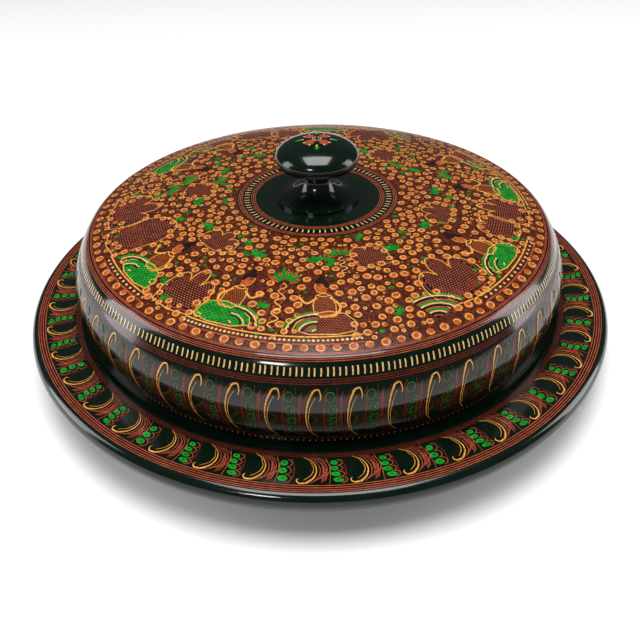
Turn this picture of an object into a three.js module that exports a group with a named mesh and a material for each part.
// A covered serving dish in lacquered coiled bamboo: a wide rimmed dish on a foot ring,
// a lift-out insert with one round and six wedge compartments, and a deep lid with a turned knob.
// Millimetres, +Z up, origin at the middle of the foot ring's resting face.
import * as THREE from "three";

// Clearances
const glueLine = 0.1; // between hoops that are glued round one another
const restGap = 0.3; // under a piece that only rests and can be lifted off
const slipFit = 0.8; // radial play of the lid and of the insert

// Dish: rim, cove, lid seat and well
const dishRadius = 150;
const rimTop = 26; // height of the rim's face above the table
const rimThickness = 8;
const rimDish = 1.4; // how much lower the rim is at its inner side
const edgeHoopWidth = 3.6;
const edgeHoopHalfHeight = 4.7;
const coveWidth = 5.5;
const seatMargin = 1.8; // flat seat left outside the lid's foot
const seatDrop = 3; // lid seat below the rim's face
const wellRadius = 109.6;
const wellFloorTop = 10.5;
const wellFloorThickness = 4.5;
const wellWall = 4;
const wellCorner = 5; // outside corner under the well
const wellFillet = 2; // inside corner of the well, and the chamfer under the insert

// Foot ring and the collar that centres the lid
const footOuterRadius = 92;
const footWidth = 7;
const collarThickness = 3.8;
const collarRise = 10; // above the lid seat
const collarSocketDepth = 9; // below the lid seat

// Lift-out insert
const insertFloorThickness = 2.8;
const insertHoopThickness = 2.8;
const insertHoopHeight = 28;
const centreHoopRadius = 30;
const partitionCount = 6;
const partitionThickness = 2.6;
const partitionHeight = 25.5;

// Lid
const lidWallThickness = 3.6;
const bulgeHeight = 21.5; // above the lid seat
const bulgeGrowth = 5; // how far the wall swells past its foot
const tickBandSetback = 0.3; // from the lid's foot to where the wall turns in to the shoulder
const tickBandHeight = 35.7; // above the lid seat
const shoulderInset = 5.2; // from the tick band in to the edge of the picture field
const shoulderHeight = 42; // above the lid seat
const shoulderLedge = 3.2; // ledge that carries the top plate
const topPlateThickness = 3.6;
const bossRadius = 39.8; // flat middle of the top plate
const domeRise = 8.6; // from the shoulder to that flat
const domePower = 2.2;
const mouthBandThickness = 1.6;
const mouthBandHeight = 10;

// Knob, its peg and its backing disc
const knobFlangeRadius = 21;
const knobFlangeEdge = 1.4;
const knobNeckRadius = 7.6;
const knobNeckHeight = 13.5;
const knobRadius = 20.4;
const knobHalfHeight = 8.9;
const pegRadius = 4;
const pegEntry = 15; // how far the peg reaches into the knob
const pegHeadRadius = 6.5;
const pegHeadHeight = 2.4;
const backingDiscRadius = 15;
const backingDiscThickness = 3;

const roundSteps = 64; // facets round the large hoops
const smallSteps = 48; // facets round the knob and its fittings

const seatHeight = rimTop - seatDrop;
const lidFoot = seatHeight + restGap;
const collarOuterRadius = wellRadius + collarThickness;
const lidMouthRadius = collarOuterRadius + slipFit; // inside of the lid at its foot
const lidFootRadius = lidMouthRadius + mouthBandThickness + glueLine + lidWallThickness - 0.8;
const lidBulgeRadius = lidFootRadius + bulgeGrowth;
const coveInnerRadius = lidFootRadius + seatMargin;
const coveOuterRadius = coveInnerRadius + coveWidth;
const tickBandRadius = lidFootRadius - tickBandSetback;
const shoulderRadius = tickBandRadius - shoulderInset;
const shoulderTop = lidFoot + shoulderHeight;
const bossTop = shoulderTop + domeRise;
const insertBase = wellFloorTop + restGap;
const insertDeck = insertBase + insertFloorThickness;
const insertRadius = wellRadius - slipFit;

const finishes = {
  black_lacquer: { color: 0x050a07, roughness: 0.12, metalness: 0 },
  engraved_rim: { color: 0x2a0f0a, roughness: 0.16, metalness: 0 },
  engraved_wall: { color: 0x2c0e0a, roughness: 0.16, metalness: 0 },
  engraved_top: { color: 0x8a3f1e, roughness: 0.2, metalness: 0 },
  red_lacquer: { color: 0x6e1408, roughness: 0.18, metalness: 0 },
  bare_wood: { color: 0x9a7146, roughness: 0.6, metalness: 0 },
};
const dish = new THREE.Group();

function material(slot) {
  return new THREE.MeshStandardMaterial({ name: slot, ...finishes[slot] });
}

function addPiece(name, geometry, slot) {
  const piece = new THREE.Mesh(geometry, material(slot));
  piece.name = name;
  dish.add(piece);
  return piece;
}

// A turned solid: [radius, height] points run up the outside, with Z as the turning axis.
function turned(outline, steps = roundSteps) {
  const points = outline.map(([radius, height]) => new THREE.Vector2(radius, height));
  return new THREE.LatheGeometry(points, steps).rotateX(Math.PI / 2);
}

function ring(innerRadius, outerRadius, bottom, top, steps = roundSteps) {
  return turned(
    [
      [innerRadius, bottom],
      [outerRadius, bottom],
      [outerRadius, top],
      [innerRadius, top],
      [innerRadius, bottom],
    ],
    steps,
  );
}

// Points of an elliptical arc, from angle a to angle b in degrees.
function arc(radius, height, radialSize, heightSize, a, b, count) {
  return Array.from({ length: count + 1 }, (_, i) => {
    const angle = THREE.MathUtils.degToRad(a + ((b - a) * i) / count);
    return [radius + radialSize * Math.cos(angle), height + heightSize * Math.sin(angle)];
  });
}

// Dish
function dishBody() {
  const floorUnder = wellFloorTop - wellFloorThickness;
  const outerWell = wellRadius + wellWall;
  const rimInside = dishRadius - edgeHoopWidth - glueLine;
  const socketRadius = collarOuterRadius + glueLine;
  const socketFloor = seatHeight - collarSocketDepth;
  return turned([
    [0, floorUnder],
    ...arc(outerWell - wellCorner, floorUnder + wellCorner, wellCorner, wellCorner, -90, -20, 4),
    [outerWell + 3, rimTop - rimThickness - 2],
    [outerWell + 10, rimTop - rimThickness],
    [rimInside, rimTop - rimThickness],
    [rimInside, rimTop],
    [coveOuterRadius, rimTop - rimDish],
    [coveOuterRadius - 2.2, rimTop - rimDish - 0.9],
    [coveInnerRadius, seatHeight],
    [socketRadius, seatHeight],
    [socketRadius, socketFloor],
    [wellRadius, socketFloor],
    ...arc(wellRadius - wellFillet, wellFloorTop + wellFillet, wellFillet, wellFillet, 0, -90, 3),
    [0, wellFloorTop],
  ]);
}

function edgeHoop() {
  const inside = dishRadius - edgeHoopWidth;
  const middle = rimTop - edgeHoopHalfHeight + 0.2;
  const outline = arc(inside, middle, edgeHoopWidth, edgeHoopHalfHeight, -90, 90, 10);
  return turned([...outline, outline[0]]);
}

function footRing() {
  const inside = footOuterRadius - footWidth;
  const top = wellFloorTop - wellFloorThickness;
  const chamfer = 1.2;
  return turned([
    [inside, 0],
    [footOuterRadius - chamfer, 0],
    [footOuterRadius, chamfer],
    [footOuterRadius + 2, top],
    [inside, top],
    [inside, 0],
  ]);
}

function collar() {
  const bottom = seatHeight - collarSocketDepth;
  const top = seatHeight + collarRise;
  const round = 1.2;
  return turned([
    [wellRadius, bottom],
    [collarOuterRadius, bottom],
    [collarOuterRadius, top - round],
    [collarOuterRadius - round, top],
    [wellRadius + round, top],
    [wellRadius, top - round],
    [wellRadius, bottom],
  ]);
}

addPiece("dish_body", dishBody(), "engraved_rim");
addPiece("dish_edge_hoop", edgeHoop(), "black_lacquer");
addPiece("foot_ring", footRing(), "black_lacquer");
addPiece("lid_collar", collar(), "black_lacquer");

// Lift-out insert
function hoop(innerRadius, thickness, height, steps) {
  const round = 0.9;
  const outerRadius = innerRadius + thickness;
  const top = insertDeck + height;
  return turned(
    [
      [innerRadius, insertDeck],
      [outerRadius, insertDeck],
      [outerRadius, top - round],
      [outerRadius - round, top],
      [innerRadius + round, top],
      [innerRadius, top - round],
      [innerRadius, insertDeck],
    ],
    steps,
  );
}

function partition() {
  const inner = centreHoopRadius + restGap;
  const outer = (insertRadius - insertHoopThickness) * Math.cos(Math.PI / roundSteps) - restGap;
  const board = new THREE.BoxGeometry(outer - inner, partitionThickness, partitionHeight);
  return board.translate((inner + outer) / 2, 0, partitionHeight / 2);
}

addPiece(
  "insert_floor",
  turned([
    [0, insertBase],
    [insertRadius - wellFillet, insertBase],
    [insertRadius, insertBase + wellFillet],
    [insertRadius, insertDeck],
    [0, insertDeck],
  ]),
  "red_lacquer",
);
addPiece(
  "insert_outer_hoop",
  hoop(insertRadius - insertHoopThickness, insertHoopThickness, insertHoopHeight, roundSteps),
  "red_lacquer",
);
addPiece(
  "insert_centre_hoop",
  hoop(centreHoopRadius - insertHoopThickness, insertHoopThickness, insertHoopHeight, smallSteps),
  "red_lacquer",
);
for (let i = 0; i < partitionCount; i += 1) {
  const board = addPiece(`insert_partition_${i + 1}`, partition(), "red_lacquer");
  board.rotation.z = ((i + 0.5) * 2 * Math.PI) / partitionCount;
  board.position.z = insertDeck;
}

// Lid
function lidWall() {
  const landHeight = mouthBandHeight + 1;
  const inside = lidMouthRadius + mouthBandThickness + glueLine;
  const seat = shoulderTop - topPlateThickness;
  const rebate = shoulderRadius + glueLine;
  const bulge = lidFoot + bulgeHeight;
  const tick = lidFoot + tickBandHeight;
  const between = (a, b, share) => a + (b - a) * share;
  return turned([
    [inside, lidFoot],
    [lidFootRadius, lidFoot],
    [between(lidFootRadius, lidBulgeRadius, 0.45), between(lidFoot, bulge, 0.25)],
    [between(lidFootRadius, lidBulgeRadius, 0.85), between(lidFoot, bulge, 0.6)],
    [lidBulgeRadius, bulge],
    [between(lidBulgeRadius, tickBandRadius, 0.22), between(bulge, tick, 0.4)],
    [between(lidBulgeRadius, tickBandRadius, 0.6), between(bulge, tick, 0.75)],
    [tickBandRadius, tick],
    [between(tickBandRadius, rebate, 0.4), between(tick, shoulderTop, 0.55)],
    [between(tickBandRadius, rebate, 0.75), between(tick, shoulderTop, 0.86)],
    [rebate, shoulderTop],
    [rebate, seat],
    [rebate - shoulderLedge, seat],
    [rebate - shoulderLedge, seat - 3],
    [tickBandRadius - lidWallThickness, tick - 3],
    [lidBulgeRadius - lidWallThickness, bulge + 3],
    [lidBulgeRadius - lidWallThickness, bulge - 3],
    [inside, lidFoot + landHeight],
    [inside, lidFoot],
  ]);
}

function domeHeight(radius) {
  const share = Math.max(0, (radius - bossRadius) / (shoulderRadius - bossRadius));
  return bossTop - domeRise * share ** domePower;
}

function lidTop() {
  const across = (share) => bossRadius + (shoulderRadius - bossRadius) * share;
  const underRadii = [0, 0.36, 0.66, 0.87, 1].map(across);
  const topRadii = [0, 0.22, 0.44, 0.66, 0.82, 0.91, 0.96, 1].map(across);
  const pegHole = pegRadius + glueLine;
  return turned([
    [pegHole, bossTop - topPlateThickness],
    ...underRadii.map((radius) => [radius, domeHeight(radius) - topPlateThickness]),
    ...topRadii.toReversed().map((radius) => [radius, domeHeight(radius)]),
    [pegHole, bossTop],
    [pegHole, bossTop - topPlateThickness],
  ]);
}

function knob() {
  const socket = pegRadius + glueLine;
  const neckTop = bossTop + knobNeckHeight;
  const middle = neckTop + knobHalfHeight - 1.2;
  const flareWidth = knobFlangeRadius - knobNeckRadius;
  const flareHeight = knobNeckHeight - knobFlangeEdge - 2.5;
  const flareBase = bossTop + knobFlangeEdge;
  const flare = arc(knobFlangeRadius, flareBase + flareHeight, flareWidth, flareHeight, -90, -180, 7);
  const bulb = arc(0, middle, knobRadius, knobHalfHeight, -58, 90, 14);
  return turned(
    [
      [socket, bossTop],
      [knobFlangeRadius, bossTop],
      ...flare,
      [knobNeckRadius + 0.4, neckTop - 1],
      ...bulb.slice(0, -1),
      [0, middle + knobHalfHeight],
      [0, bossTop + pegEntry + glueLine],
      [socket, bossTop + pegEntry + glueLine],
      [socket, bossTop],
    ],
    smallSteps,
  );
}

function peg() {
  const discUnder = bossTop - topPlateThickness - backingDiscThickness;
  return turned(
    [
      [0, discUnder - pegHeadHeight],
      [pegHeadRadius, discUnder - pegHeadHeight],
      [pegHeadRadius, discUnder],
      [pegRadius, discUnder],
      [pegRadius, bossTop + pegEntry],
      [0, bossTop + pegEntry],
    ],
    smallSteps,
  );
}

addPiece("lid_wall", lidWall(), "engraved_wall");
addPiece("lid_top", lidTop(), "engraved_top");
addPiece(
  "lid_mouth_band",
  ring(lidMouthRadius, lidMouthRadius + mouthBandThickness, lidFoot, lidFoot + mouthBandHeight),
  "red_lacquer",
);
addPiece("knob", knob(), "black_lacquer");
addPiece("knob_peg", peg(), "bare_wood");
addPiece(
  "knob_backing_disc",
  ring(
    pegRadius + glueLine,
    backingDiscRadius,
    bossTop - topPlateThickness - backingDiscThickness,
    bossTop - topPlateThickness,
    smallSteps,
  ),
  "red_lacquer",
);

export default dish;
